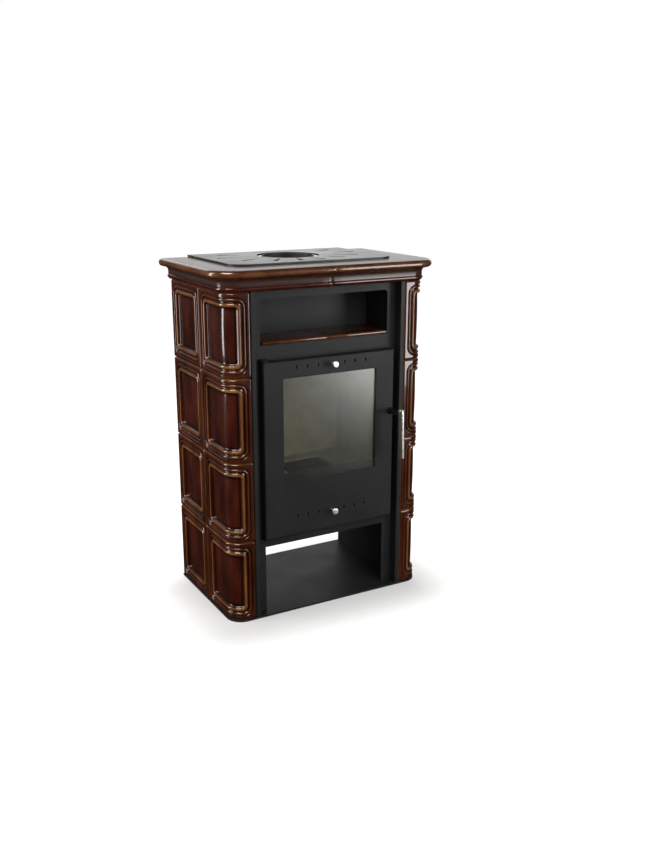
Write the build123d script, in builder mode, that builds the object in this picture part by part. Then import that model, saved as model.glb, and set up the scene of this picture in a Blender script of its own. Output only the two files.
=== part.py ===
from math import cos, hypot, radians, sin
import os

from build123d import *

os.makedirs("parts", exist_ok=True)

# The stove stands on z = 0 with its middle on the Z axis. Its front faces -Y. Millimetres.

# Ceramic cladding
half_width = 304.5  # outer face of the side tiles
half_depth = 186.0  # outer face of the front of the corner tiles, and the tiles' rear edge
corner_radius = 45.0
tile_thickness = 28.0
row_seams = [5.5, 230.5, 453.5, 680.0, 900.0]  # heights of the joints, from the base plate up
column_seam = -15.8  # between a flat side tile and a corner tile
joint_gap = 1.0
tile_edge_radius = 5.0
band_inset, band_depth = 11.0, 4.0  # sunk band that the two beads stand in
panel_inset, panel_depth = 41.0, 7.5
outer_bead_inset, outer_bead_radius, outer_bead_bend = 17.0, 4.0, 20.0
band_bend, panel_bend = 20.0, 5.0
inner_bead_inset, inner_bead_radius, inner_bead_bend = 30.5, 6.0, 12.0

# Steel carcass
sheet = 3.0
wall_inside = 240.0
plate_front, plate_thickness = -157.0, 4.0
profile_inside, profile_outside = 220.5, 233.5
rear_face = 183.0
carcass_top = 936.0
rear_panel_half_width = 276.0
compartment_half_width, compartment_top = 189.4, 193.5
ceiling_height = 204.0

# Niche
niche_half_width, niche_bottom, niche_top, niche_radius = 195.0, 755.5, 876.4, 10.0
niche_back = -38.0
shelf_half_width, shelf_thickness, shelf_nose = 189.5, 11.0, -163.0

# Cornice: its section steps out from the line of the tiles' outer faces
cornice_bottom, cornice_top, cornice_rear = 900.5, 957.0, 195.0
cornice_corner_radius = 45.0
nose_reach, nose_radius = 29.7, 10.5
cove_radius, cove_foot = 14.0, 3.5
lip_reach, lip_bottom, lip_top, lip_return = 6.0, 903.0, 914.0, 1.5
cornice_root = 25.0  # how far the moulding reaches in behind the tiles' faces
cornice_inner_x, cornice_inner_y = 224.5, -98.0

# Steel cover plate with its flue hole and radial slots
cover_half_width, cover_front, cover_rear = 245.5, -120.0, 203.0
cover_thickness, cover_radius = 5.0, 50.0
flue_y, flue_hole_radius, flue_outer_radius, flue_wall = 61.0, 88.0, 74.5, 3.0
flue_top = 961.0
slot_count, slot_step = 10, 360 / 14
slot_reach_x, slot_reach_y, slot_length, slot_radius, slot_tip = 216.0, 156.0, 66.0, 6.5, 1.5

# Fire chamber
shell_inside, shell_wall, shell_rear = 199.0, 4.0, 140.0
shell_bottom, shell_top = 239.0, 745.0
hearth_top, stone_thickness = 368.0, 28.0
chamber_half_width, chamber_back, chamber_front, lining_top = 168.0, 72.0, -146.0, 690.0
fire_half_width, fire_bottom, fire_top = 168.0, 243.0, 700.0
grate_half_width, grate_back = 76.0, 31.0
guard_top = 393.0

# Door
door_half_width, door_bottom, door_top = 200.8, 226.8, 715.0
door_front, door_back, door_sheet = -186.0, -160.0, 3.0
window_half_width, window_bottom, window_top = 144.0, 381.6, 668.0
glass_lap, glass_thickness, tape_thickness = 10.0, 4.0, 1.0
hinge_x, hinge_y, pin_radius = -193.0, -175.0, 3.0

# Air holes and their slides
upper_holes_z, lower_holes_z = 696.0, 280.0
hole_pitch, hole_radius = 32.7, 4.5
knob_travel, knob_rest, knob_open = 8.0, 2.0, -3.0
knob_stem_radius, knob_head_radius = 3.0, 9.5

# Handle
handle_x, handle_z = 190.0, 541.0
bar_y, bar_radius, bar_above, bar_below, bar_lean = -245.0, 8.5, 15.0, 125.0, 1.5
shaft_radius = 5.0


def save(piece, name):
    piece.label = name
    export_step(piece, f"parts/{name}.step")


def block(x_range, y_range, z_range, mode=Mode.ADD):
    """A box given by its limits."""
    limits = (x_range, y_range, z_range)
    middle = [(low + high) / 2 for low, high in limits]
    with Locations(tuple(middle)):
        Box(*(high - low for low, high in limits), mode=mode)


def both_sides(piece, name):
    """Saves a piece made for the left, and its mirror image for the right."""
    save(piece, f"left_{name}")
    with BuildPart() as right:
        mirror(piece, about=Plane.YZ)
    save(right.part, f"right_{name}")


def quarter_band(outer, inner, side_end, front_end):
    """Plan of the front left quarter of the cladding, between two depths behind its outer face."""
    reach = half_width + half_depth
    with BuildSketch() as band:
        RectangleRounded(2 * (half_width - outer), 2 * (half_depth - outer), corner_radius - outer)
        RectangleRounded(
            2 * (half_width - inner), 2 * (half_depth - inner), corner_radius - inner, mode=Mode.SUBTRACT
        )
        with Locations((-front_end - reach / 2, side_end - reach / 2)):
            Rectangle(reach, reach, mode=Mode.INTERSECT)
    return band.sketch


def bend(start, end, centre, radius):
    """A quarter turn between two points about a centre, through the point midway."""
    middle = (Vector(*start) + Vector(*end)) / 2 - Vector(*centre)
    ThreePointArc(start, Vector(*centre) + middle.normalized() * radius, end)


def flat_bead(face, low_y, high_y, low_z, high_z, radius, turn):
    """A round bead laid as a rounded rectangle on the side tile's face."""
    with BuildLine() as path:
        near_y, far_y, foot_z, head_z = low_y + turn, high_y - turn, low_z + turn, high_z - turn
        Line((face, near_y, low_z), (face, far_y, low_z))
        bend((face, far_y, low_z), (face, high_y, foot_z), (face, far_y, foot_z), turn)
        Line((face, high_y, foot_z), (face, high_y, head_z))
        bend((face, high_y, head_z), (face, far_y, high_z), (face, far_y, head_z), turn)
        Line((face, far_y, high_z), (face, near_y, high_z))
        bend((face, near_y, high_z), (face, low_y, head_z), (face, near_y, head_z), turn)
        Line((face, low_y, head_z), (face, low_y, foot_z))
        bend((face, low_y, foot_z), (face, near_y, low_z), (face, near_y, foot_z), turn)
    with BuildSketch(Plane(origin=(face, near_y, low_z), z_dir=(0, 1, 0))) as section:
        Circle(radius)
    sweep(section.sketch, path=path.wire())


def corner_bead(inset, low_z, high_z, radius):
    """A round bead on the corner tile, whose level runs go round the stove's corner."""
    side_x, end_y = radius - half_width, column_seam - joint_gap / 2 - inset
    centre_x, centre_y = corner_radius - half_width, corner_radius - half_depth
    arc = corner_radius - radius
    front_flat = -centre_x - profile_outside - joint_gap / 2
    stop = max(0, inset - front_flat) / corner_radius  # the angle short of the front face
    half_turn = (radians(90) - stop) / 2
    arc_middle = (centre_x - arc * cos(half_turn), centre_y - arc * sin(half_turn))
    arc_end = (centre_x - arc * sin(stop), centre_y - arc * cos(stop))
    front_end = (arc_end[0] + max(0, front_flat - inset), arc_end[1])
    for z in (low_z, high_z):
        with BuildLine() as path:
            Line((side_x, end_y, z), (side_x, centre_y, z))
            ThreePointArc((side_x, centre_y, z), (*arc_middle, z), (*arc_end, z))
            if inset < front_flat:
                Line((*arc_end, z), (*front_end, z))
        with BuildSketch(Plane(origin=(side_x, end_y, z), z_dir=(0, -1, 0))) as section:
            Circle(radius)
        sweep(section.sketch, path=path.wire())
        with Locations((side_x, end_y, z), (*front_end, z)):
            Sphere(radius)
    with BuildSketch(Plane.XY.offset(low_z)) as uprights:
        with Locations((side_x, end_y), front_end):
            Circle(radius)
    extrude(uprights.sketch, amount=high_z - low_z)


# Cladding tiles, four rows of a flat tile and a corner tile on each side
for row, (seam_below, seam_above) in enumerate(zip(row_seams, row_seams[1:]), start=1):
    low = seam_below + (joint_gap / 2 if row > 1 else 0)
    high = seam_above - joint_gap / 2

    front_edge, rear_edge = column_seam + joint_gap / 2, half_depth
    tile_middle, tile_width, tile_height = (front_edge + rear_edge) / 2, rear_edge - front_edge, high - low
    with BuildPart() as side_tile:
        block((-half_width, tile_thickness - half_width), (front_edge, rear_edge), (low, high))
        outer_edges = side_tile.faces().sort_by(Axis.X)[0].edges()
        fillet(outer_edges, radius=tile_edge_radius)
        with BuildSketch(Plane.YZ.offset(-half_width)):
            with Locations((tile_middle, (low + high) / 2)):
                RectangleRounded(tile_width - 2 * band_inset, tile_height - 2 * band_inset, band_bend)
        extrude(amount=band_depth, mode=Mode.SUBTRACT)
        with BuildSketch(Plane.YZ.offset(-half_width)):
            with Locations((tile_middle, (low + high) / 2)):
                RectangleRounded(tile_width - 2 * panel_inset, tile_height - 2 * panel_inset, panel_bend)
        extrude(amount=panel_depth, mode=Mode.SUBTRACT)
        for inset, radius, turn in ((outer_bead_inset, outer_bead_radius, outer_bead_bend),
                                    (inner_bead_inset, inner_bead_radius, inner_bead_bend)):
            flat_bead(radius - half_width, front_edge + inset, rear_edge - inset, low + inset, high - inset,
                      radius, turn)
    both_sides(side_tile.part, f"side_tile_{row}")

    front_end = profile_outside + joint_gap / 2
    side_end = column_seam - joint_gap / 2
    with BuildPart() as corner_tile:
        with BuildSketch(Plane.XY.offset(low)):
            add(quarter_band(0, tile_thickness, side_end, front_end))
        extrude(amount=high - low)
        rims = [edge for edge in corner_tile.edges().filter_by(Plane.XY)
                if half_width - abs(edge.center().X) < 1 or half_depth - abs(edge.center().Y) < 1
                or (edge.geom_type == GeomType.CIRCLE and edge.radius > corner_radius - 1)]
        fillet(rims, radius=tile_edge_radius)
        for inset, depth in ((band_inset, band_depth), (panel_inset, panel_depth)):
            with BuildSketch(Plane.XY.offset(low + inset)):
                add(quarter_band(-1, depth, side_end - inset, front_end + inset))
            extrude(amount=high - low - 2 * inset, mode=Mode.SUBTRACT)
        corner_bead(outer_bead_inset, low + outer_bead_inset, high - outer_bead_inset, outer_bead_radius)
        corner_bead(inner_bead_inset, low + inner_bead_inset, high - inner_bead_inset, inner_bead_radius)
    both_sides(corner_tile.part, f"corner_tile_{row}")

# Base plate, with its front corners rounded like the cladding's
base_lip, base_edge = 0.5, 0.8  # how far it shows beyond the tiles, and its softened upper edge
with BuildPart() as base_plate:
    with BuildSketch() as base_outline:
        Rectangle(2 * (half_width + base_lip), 2 * (half_depth + 2 * base_lip))
        fillet(base_outline.vertices().group_by(Axis.Y)[0], radius=corner_radius)
    extrude(amount=row_seams[0])
    fillet(base_plate.faces().sort_by(Axis.Z)[-1].edges().filter_by(GeomType.CIRCLE), radius=base_edge)
save(base_plate.part, "base_plate")

# Carcass: two side walls behind the front plate
with BuildPart() as side_wall:
    block((-wall_inside - sheet, -wall_inside), (plate_front + plate_thickness, rear_face),
          (row_seams[0], carcass_top))
both_sides(side_wall.part, "side_wall")

with BuildPart() as front_plate:
    with BuildSketch(Plane.XZ.offset(-plate_front - plate_thickness)):
        with Locations((0, (row_seams[0] + carcass_top) / 2)):
            Rectangle(2 * (wall_inside + sheet), carcass_top - row_seams[0])
        with Locations((0, (row_seams[0] + compartment_top) / 2)):
            Rectangle(2 * compartment_half_width, compartment_top - row_seams[0], mode=Mode.SUBTRACT)
        with Locations((0, (fire_bottom + fire_top) / 2)):
            RectangleRounded(2 * fire_half_width, fire_top - fire_bottom, niche_radius, mode=Mode.SUBTRACT)
        with Locations((0, (niche_bottom + niche_top) / 2)):
            RectangleRounded(2 * niche_half_width, niche_top - niche_bottom, niche_radius, mode=Mode.SUBTRACT)
        with Locations((0, niche_bottom + niche_radius)):
            Rectangle(2 * niche_half_width, 2 * niche_radius, mode=Mode.SUBTRACT)
    extrude(amount=plate_thickness)
save(front_plate.part, "front_plate")

# Upright channels that close the joint between the cladding and the front plate
channel_wall, channel_edge = 2.0, 1.5
with BuildPart() as front_channel:
    block((-profile_outside, -profile_inside), (-half_depth, plate_front), (row_seams[0], cornice_bottom))
    fillet(front_channel.edges().filter_by(Axis.Z).group_by(Axis.Y)[0], radius=channel_edge)
    block((channel_wall - profile_outside, -channel_wall - profile_inside),
          (channel_wall - half_depth, plate_front), (row_seams[0], cornice_bottom), mode=Mode.SUBTRACT)
both_sides(front_channel.part, "front_channel")

# Hat-section rails between the side walls and the backs of the tiles, two on each side
rail_width, rail_lip, rail_sheet, rail_top = 30.0, 14.0, 2.0, 895.0
rail_inner, rail_outer = wall_inside + sheet, half_width - tile_thickness
with BuildPart() as tile_rails:
    for rail_y in (-100.0, 120.0):
        block((-rail_outer, rail_sheet - rail_outer), (rail_y - rail_width / 2, rail_y + rail_width / 2),
              (row_seams[0], rail_top))
        for edge_y, lip_y in ((rail_y - rail_width / 2, rail_y - rail_width / 2 - rail_lip),
                              (rail_y + rail_width / 2, rail_y + rail_width / 2 + rail_lip)):
            web = sorted((edge_y, edge_y + (rail_sheet if lip_y < edge_y else -rail_sheet)))
            block((rail_sheet - rail_outer, -rail_inner), web, (row_seams[0], rail_top))
            block((-rail_inner - rail_sheet, -rail_inner), sorted((edge_y, lip_y)), (row_seams[0], rail_top))
    mirror(about=Plane.YZ)
save(tile_rails.part, "tile_rails")

# Rear panel, open below for the log compartment and louvred for the convection air
rear_sheet, vent_length, vent_width, vent_pitch = 2.0, 90.0, 6.0, 120.0
vent_rows, screw_rows = (250, 265, 280, 840, 855, 870), (60, 330, 600, 900)
screw_x, screw_head, screw_height = 258.0, 4.5, 2.5
with BuildPart() as rear_panel:
    block((-rear_panel_half_width, rear_panel_half_width), (rear_face, rear_face + rear_sheet),
          (row_seams[0], carcass_top))
    block((-wall_inside, wall_inside), (rear_face, rear_face + rear_sheet), (row_seams[0], ceiling_height),
          mode=Mode.SUBTRACT)
    with BuildSketch(Plane.XZ.offset(-rear_face)):
        for vent_z in vent_rows:
            with Locations((-vent_pitch, vent_z), (0, vent_z), (vent_pitch, vent_z)):
                SlotOverall(vent_length, vent_width)
    extrude(amount=-rear_sheet, mode=Mode.SUBTRACT)
save(rear_panel.part, "rear_panel")

with BuildPart() as rear_panel_screws:
    with BuildSketch(Plane.XZ.offset(-rear_face - rear_sheet)):
        for screw_z in screw_rows:
            with Locations((-screw_x, screw_z), (screw_x, screw_z)):
                Circle(screw_head)
    extrude(amount=-screw_height)
    fillet(rear_panel_screws.edges().group_by(Axis.Y)[-1], radius=1)
save(rear_panel_screws.part, "rear_panel_screws")

ceiling_sheet, ceiling_slot, rear_slot_y, side_slot_x = 2.0, 10.0, 163.0, 220.0
rear_slot_pitch, rear_slot_length, side_slot_pitch, side_slot_length = 110.0, 95.0, 80.0, 60.0
with BuildPart() as compartment_ceiling:
    block((-wall_inside, wall_inside), (plate_front + plate_thickness, rear_face),
          (ceiling_height, ceiling_height + ceiling_sheet))
    with BuildSketch(Plane.XY.offset(ceiling_height)):
        with Locations((0, rear_slot_y)):
            with GridLocations(rear_slot_pitch, 1, 4, 1):
                SlotOverall(rear_slot_length, ceiling_slot)
        with Locations((-side_slot_x, 0), (side_slot_x, 0)):
            with GridLocations(1, side_slot_pitch, 1, 3):
                SlotOverall(side_slot_length, ceiling_slot, rotation=90)
    extrude(amount=ceiling_sheet, mode=Mode.SUBTRACT)
save(compartment_ceiling.part, "compartment_ceiling")

# Niche: a folded liner behind the front plate, and its two glazed shelf tiles
liner_sheet, liner_margin, liner_headroom = 2.0, 5.0, 4.0
liner_inside = niche_half_width + liner_margin
liner_outside = liner_inside + liner_sheet
with BuildPart() as niche_liner:
    block((-liner_outside, liner_outside), (plate_front + plate_thickness, niche_back + liner_sheet),
          (niche_bottom - liner_sheet, niche_top + liner_headroom + liner_sheet))
    block((-liner_inside, liner_inside), (plate_front + plate_thickness, niche_back),
          (niche_bottom, niche_top + liner_headroom), mode=Mode.SUBTRACT)
save(niche_liner.part, "niche_liner")

with BuildPart() as shelf_tile:
    block((-shelf_half_width, -joint_gap / 2), (shelf_nose, niche_back - 1),
          (niche_bottom, niche_bottom + shelf_thickness))
    fillet(shelf_tile.edges().filter_by(Axis.X).group_by(Axis.Y)[0], radius=shelf_thickness / 2 - 0.3)
both_sides(shelf_tile.part, "shelf_tile")

# Cornice: a moulding carried round the corner, and the slab behind it, in two halves
nose_x, nose_z = nose_reach - nose_radius, cornice_top - nose_radius
lip_middle = (lip_bottom + lip_top) / 2
with BuildPart() as cornice:
    with BuildLine() as cornice_path:
        Line((-half_width, cornice_rear), (-half_width, cornice_corner_radius - half_depth))
        bend((-half_width, cornice_corner_radius - half_depth), (cornice_corner_radius - half_width, -half_depth),
             (cornice_corner_radius - half_width, cornice_corner_radius - half_depth), cornice_corner_radius)
        Line((cornice_corner_radius - half_width, -half_depth), (-joint_gap / 2, -half_depth))
    with BuildSketch(Plane(origin=(-half_width, cornice_rear, 0), x_dir=(-1, 0, 0), z_dir=(0, 1, 0))) as moulding:
        with BuildLine():
            under_nose = nose_z - nose_radius
            Line((-cornice_root, cornice_top), (nose_x, cornice_top))
            ThreePointArc((nose_x, cornice_top), (nose_reach, nose_z), (nose_x, under_nose))
            Line((nose_x, under_nose), (cove_foot + cove_radius, under_nose))
            RadiusArc((cove_foot + cove_radius, under_nose), (cove_foot, under_nose - cove_radius), cove_radius)
            Line((cove_foot, under_nose - cove_radius), (cove_foot, lip_top))
            ThreePointArc((cove_foot, lip_top), (lip_reach, lip_middle), (cove_foot - 1, lip_bottom))
            Polyline((cove_foot - 1, lip_bottom), (lip_return, cornice_bottom), (-cornice_root, cornice_bottom),
                     (-cornice_root, cornice_top))
        make_face()
    sweep(moulding.sketch, path=cornice_path.wire())
    block((-half_width + cornice_root - 1, -joint_gap / 2), (-half_depth + cornice_root - 1, cornice_inner_y),
          (under_nose, cornice_top))
    block((-half_width + cornice_root - 1, -cornice_inner_x), (cornice_inner_y, cornice_rear),
          (under_nose, cornice_top))
both_sides(cornice.part, "cornice")

# Steel cover plate over the convection space, with teardrop slots fanned about the flue
with BuildPart() as cover_plate:
    with BuildSketch(Plane.XY.offset(cornice_top)) as cover_outline:
        with Locations((0, (cover_front + cover_rear) / 2)):
            Rectangle(2 * cover_half_width, cover_rear - cover_front)
        fillet(cover_outline.vertices().group_by(Axis.Y)[0], radius=cover_radius)
        with Locations((0, flue_y)):
            Circle(flue_hole_radius, mode=Mode.SUBTRACT)
    extrude(amount=cover_thickness)
    for slot in range(slot_count):
        angle = radians(180 + (slot - 1) * slot_step)
        reach = 1 / hypot(cos(angle) / slot_reach_x, sin(angle) / slot_reach_y)
        along = Plane(origin=(0, flue_y, cornice_top), x_dir=(cos(angle), sin(angle), 0), z_dir=(0, 0, 1))
        with BuildSketch(along):
            with Locations((reach - slot_radius, 0)):
                Circle(slot_radius)
            with Locations((reach - slot_length + slot_tip, 0)):
                Circle(slot_tip)
            make_hull()
        extrude(amount=cover_thickness, mode=Mode.SUBTRACT)
save(cover_plate.part, "cover_plate")

# Flue collar, flanged where it stands on the fire chamber
flange_radius = 78.0
with BuildPart() as flue_collar:
    with BuildSketch(Plane.XY.offset(shell_top)):
        with Locations((0, flue_y)):
            Circle(flue_outer_radius)
            Circle(flue_outer_radius - flue_wall, mode=Mode.SUBTRACT)
    extrude(amount=flue_top - shell_top)
    with BuildSketch(Plane.XY.offset(shell_top)):
        with Locations((0, flue_y)):
            Circle(flange_radius)
            Circle(flue_outer_radius - 1, mode=Mode.SUBTRACT)
    extrude(amount=shell_wall)
save(flue_collar.part, "flue_collar")

# Fire chamber: a welded steel box, open at the front plate, with the hearth's floor sheet inside
floor_sheet_top, floor_gap_x, floor_gap_front, floor_gap_back = 340.0, 68.0, -138.0, 22.0
shell_outside, shell_front = shell_inside + shell_wall, plate_front + plate_thickness
with BuildPart() as firebox_shell:
    block((-shell_outside, shell_outside), (shell_front, shell_rear), (shell_bottom, shell_top))
    block((-shell_inside, shell_inside), (shell_front, shell_rear - shell_wall),
          (shell_bottom + shell_wall, floor_sheet_top - shell_wall), mode=Mode.SUBTRACT)
    block((-shell_inside, shell_inside), (shell_front, shell_rear - shell_wall),
          (floor_sheet_top, shell_top - shell_wall), mode=Mode.SUBTRACT)
    block((-floor_gap_x, floor_gap_x), (floor_gap_front, floor_gap_back),
          (floor_sheet_top - shell_wall, floor_sheet_top), mode=Mode.SUBTRACT)
    with BuildSketch(Plane.XY.offset(shell_top)):
        with Locations((0, flue_y)):
            Circle(flue_outer_radius - flue_wall)
    extrude(amount=-shell_wall, mode=Mode.SUBTRACT)
save(firebox_shell.part, "firebox_shell")

# Lining: three upright bricks, the hearth stones round the grate, and the baffle
lining_outside = chamber_half_width + stone_thickness
brick_chamfer, stone_chamfer = 2.0, 1.5
with BuildPart() as side_brick:
    block((-lining_outside, -chamber_half_width), (chamber_front, chamber_back), (hearth_top, lining_top))
    chamfer(side_brick.edges().filter_by(Axis.Z), length=brick_chamfer)
both_sides(side_brick.part, "firebrick")

with BuildPart() as back_brick:
    block((-lining_outside, lining_outside), (chamber_back, chamber_back + stone_thickness),
          (floor_sheet_top, lining_top))
    chamfer(back_brick.edges().filter_by(Axis.Z), length=brick_chamfer)
save(back_brick.part, "back_firebrick")

with BuildPart() as side_hearth_stones:
    block((-lining_outside, -grate_half_width), (chamber_front, chamber_back), (floor_sheet_top, hearth_top))
    chamfer(side_hearth_stones.faces().sort_by(Axis.Z)[-1].edges(), length=stone_chamfer)
    mirror(about=Plane.YZ)
save(side_hearth_stones.part, "side_hearth_stones")

with BuildPart() as rear_hearth_stone:
    block((-grate_half_width, grate_half_width), (grate_back, chamber_back), (floor_sheet_top, hearth_top))
    chamfer(rear_hearth_stone.faces().sort_by(Axis.Z)[-1].edges(), length=stone_chamfer)
save(rear_hearth_stone.part, "rear_hearth_stone")

baffle_front, baffle_thickness, baffle_chamfer = -95.0, 25.0, 4.0
with BuildPart() as baffle:
    block((-lining_outside, lining_outside), (baffle_front, chamber_back + stone_thickness),
          (lining_top, lining_top + baffle_thickness))
    chamfer(baffle.edges().filter_by(Axis.X).group_by(Axis.Y)[0], length=baffle_chamfer)
save(baffle.part, "baffle")

# Cast grate: a deep rim with a slotted floor
grate_top, grate_rim, grate_slot, grate_plate, grate_play = 362.0, 10.0, 7.0, 10.0, 0.5
slot_rows, slots_in_row, grate_pitch, row_pitch, grate_slot_length = 2, 9, 14.0, 74.0, 64.0
grate_edge, grate_rear = grate_half_width - grate_play, grate_back - grate_play
with BuildPart() as grate:
    block((-grate_edge, grate_edge), (chamber_front, grate_rear), (floor_sheet_top, grate_top))
    block((grate_rim - grate_edge, grate_edge - grate_rim), (chamber_front + grate_rim, grate_rear - grate_rim),
          (floor_sheet_top, grate_top - grate_plate), mode=Mode.SUBTRACT)
    with BuildSketch(Plane.XY.offset(grate_top)):
        with Locations((0, (chamber_front + grate_back) / 2)):
            with GridLocations(grate_pitch, row_pitch, slots_in_row, slot_rows):
                SlotOverall(grate_slot_length, grate_slot, rotation=90)
    extrude(amount=-grate_plate, mode=Mode.SUBTRACT)
save(grate.part, "grate")

guard_half_width, guard_corner = 165.0, 12.0
with BuildPart() as log_guard:
    block((-guard_half_width, guard_half_width), (chamber_front - 1 - sheet, chamber_front - 1),
          (floor_sheet_top, guard_top))
    fillet(log_guard.edges().filter_by(Axis.Y).group_by(Axis.Z)[-1], radius=guard_corner)
save(log_guard.part, "log_guard")

# Ash pan under the grate, with a folded pull on its front
pan_wall, pan_half_width, pan_front, pan_back, pan_top, pan_corner = 2.0, 150.0, -140.0, 110.0, 318.0, 8.0
pull_half_width, pull_front, pull_top, pull_drop = 35.0, -150.0, 292.0, 14.0
with BuildPart() as ash_pan:
    block((-pan_half_width, pan_half_width), (pan_front, pan_back), (fire_bottom, pan_top))
    fillet(ash_pan.edges().filter_by(Axis.Z), radius=pan_corner)
    block((pan_wall - pan_half_width, pan_half_width - pan_wall), (pan_front + pan_wall, pan_back - pan_wall),
          (fire_bottom + pan_wall, pan_top), mode=Mode.SUBTRACT)
    pull_range = (-pull_half_width, pull_half_width)
    block(pull_range, (pull_front, pan_front + pan_wall), (pull_top - pan_wall, pull_top))
    block(pull_range, (pull_front, pull_front + pan_wall), (pull_top - pull_drop, pull_top))
save(ash_pan.part, "ash_pan")

# Hinge brackets on the front plate, each with its pin welded in
bracket_reach, bracket_plate, bracket_gap, pin_depth = 9.0, 4.0, 1.5, 12.0
upper_bracket, lower_bracket = door_top + bracket_gap, door_bottom - bracket_gap - bracket_plate
with BuildPart() as hinge_brackets:
    for plate_z, pin_foot, pin_top in ((upper_bracket, door_top - pin_depth, upper_bracket + bracket_plate),
                                       (lower_bracket, lower_bracket, door_bottom + pin_depth - 1)):
        with BuildSketch(Plane.XY.offset(plate_z)):
            with Locations((hinge_x, hinge_y)):
                Circle(bracket_reach)
            with Locations((hinge_x, (hinge_y + plate_front) / 2)):
                Rectangle(2 * bracket_reach, plate_front - hinge_y)
        extrude(amount=bracket_plate)
        with BuildSketch(Plane.XY.offset(pin_foot)):
            with Locations((hinge_x, hinge_y)):
                Circle(pin_radius)
        extrude(amount=pin_top - pin_foot)
save(hinge_brackets.part, "hinge_brackets")

catch_bottom, catch_top, catch_front = handle_z + 30, handle_z + 46, -174.0
catch_left, catch_right, catch_play, catch_chamfer = handle_x - 3.5, handle_x + 4.5, 2.0, 3.0
with BuildPart() as latch_catch:
    block((catch_left, catch_right), (catch_front, plate_front), (catch_bottom, catch_top))
    chamfer(latch_catch.edges().filter_by(Axis.X).group_by(Axis.Y)[0], length=catch_chamfer)
save(latch_catch.part, "latch_catch")

# Door: a folded sheet tray with the window, two rows of air holes and the knob slots
hole_places = [side * (place + 1.25) * hole_pitch for side in (-1, 1) for place in range(3)]
tray_x, tray_z = door_half_width - door_sheet, (door_bottom + door_sheet, door_top - door_sheet)
bush_radius, bush_length, running_gap = 4.5, 11.0, 0.05
door_edge, window_corner, slot_half_width = 2.5, 4.0, knob_stem_radius + 0.5
with BuildPart() as door_panel:
    block((-door_half_width, door_half_width), (door_front, door_back), (door_bottom, door_top))
    fillet(door_panel.faces().sort_by(Axis.Y)[0].edges(), radius=door_edge)
    block((-tray_x, tray_x), (door_front + door_sheet, door_back), tray_z, mode=Mode.SUBTRACT)
    with BuildSketch(Plane.XZ.offset(-door_front)):
        with Locations((0, (window_bottom + window_top) / 2)):
            RectangleRounded(2 * window_half_width, window_top - window_bottom, window_corner)
        for holes_z in (upper_holes_z, lower_holes_z):
            with Locations(*[(hole_x, holes_z) for hole_x in hole_places]):
                Circle(hole_radius)
            with Locations((0, holes_z)):
                SlotOverall(2 * (knob_travel + slot_half_width), 2 * slot_half_width)
        with Locations((handle_x, handle_z)):
            Circle(shaft_radius + running_gap)
    extrude(amount=-door_sheet, mode=Mode.SUBTRACT)
    for bush_z in (door_top, tray_z[0]):
        with BuildSketch(Plane.XY.offset(bush_z)):
            with Locations((hinge_x, hinge_y)):
                Circle(bush_radius)
        extrude(amount=-door_sheet, mode=Mode.SUBTRACT)
save(door_panel.part, "door_panel")

with BuildPart() as hinge_bushes:
    for bush_z in (door_top - bush_length, door_bottom):
        with BuildSketch(Plane.XY.offset(bush_z)):
            with Locations((hinge_x, hinge_y)):
                Circle(bush_radius)
                Circle(pin_radius + running_gap, mode=Mode.SUBTRACT)
        extrude(amount=bush_length)
save(hinge_bushes.part, "hinge_bushes")

frame_front, frame_hole_x, frame_hole_z = door_back - 3, 152.0, (372.0, 678.0)
with BuildPart() as door_inner_frame:
    block((-tray_x, tray_x), (frame_front, door_back), tray_z)
    block((-frame_hole_x, frame_hole_x), (frame_front, door_back), frame_hole_z, mode=Mode.SUBTRACT)
    block((catch_left - catch_play, catch_right + catch_play), (frame_front, door_back),
          (catch_bottom - catch_play - 1, catch_top + catch_play + 1), mode=Mode.SUBTRACT)
save(door_inner_frame.part, "door_inner_frame")

gasket_outer, gasket_inner = (368.0, 480.0, 12.0), (346.0, 461.0, 6.0)  # width, height and corner
gasket_thickness = 2.6
with BuildPart() as door_gasket:
    with BuildSketch(Plane.XZ.offset(-door_back)):
        with Locations((0, (tray_z[0] + tray_z[1]) / 2)):
            RectangleRounded(*gasket_outer)
            RectangleRounded(*gasket_inner, mode=Mode.SUBTRACT)
    extrude(amount=-gasket_thickness)
save(door_gasket.part, "door_gasket")

glass_half_width = window_half_width + glass_lap
glass_z = (window_bottom - glass_lap, window_top + glass_lap)
tape_front = door_front + door_sheet
glass_front = tape_front + tape_thickness
with BuildPart() as glass_tape:
    block((-glass_half_width, glass_half_width), (tape_front, glass_front), glass_z)
    block((-window_half_width, window_half_width), (tape_front, glass_front), (window_bottom, window_top),
          mode=Mode.SUBTRACT)
save(glass_tape.part, "glass_tape")

glass_chamfer = 3.0
with BuildPart() as door_glass:
    block((-glass_half_width, glass_half_width), (glass_front, glass_front + glass_thickness), glass_z)
    chamfer(door_glass.edges().filter_by(Axis.Y), length=glass_chamfer)
save(door_glass.part, "door_glass")

clip_width, clip_foot, clip_sheet, clip_gap, clip_lap, clip_rows = 20.0, 12.0, 1.5, 0.5, 6.0, (430.0, 620.0)
clip_inner = glass_half_width + clip_gap
glass_back = glass_front + glass_thickness
with BuildPart() as glass_clips:
    for clip_z in clip_rows:
        clip_range = (clip_z - clip_width / 2, clip_z + clip_width / 2)
        block((-glass_half_width - clip_foot, -clip_inner), (tape_front, glass_back + clip_sheet), clip_range)
        block((-clip_inner, clip_lap - glass_half_width), (glass_back, glass_back + clip_sheet), clip_range)
    mirror(about=Plane.YZ)
save(glass_clips.part, "glass_clips")

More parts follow.
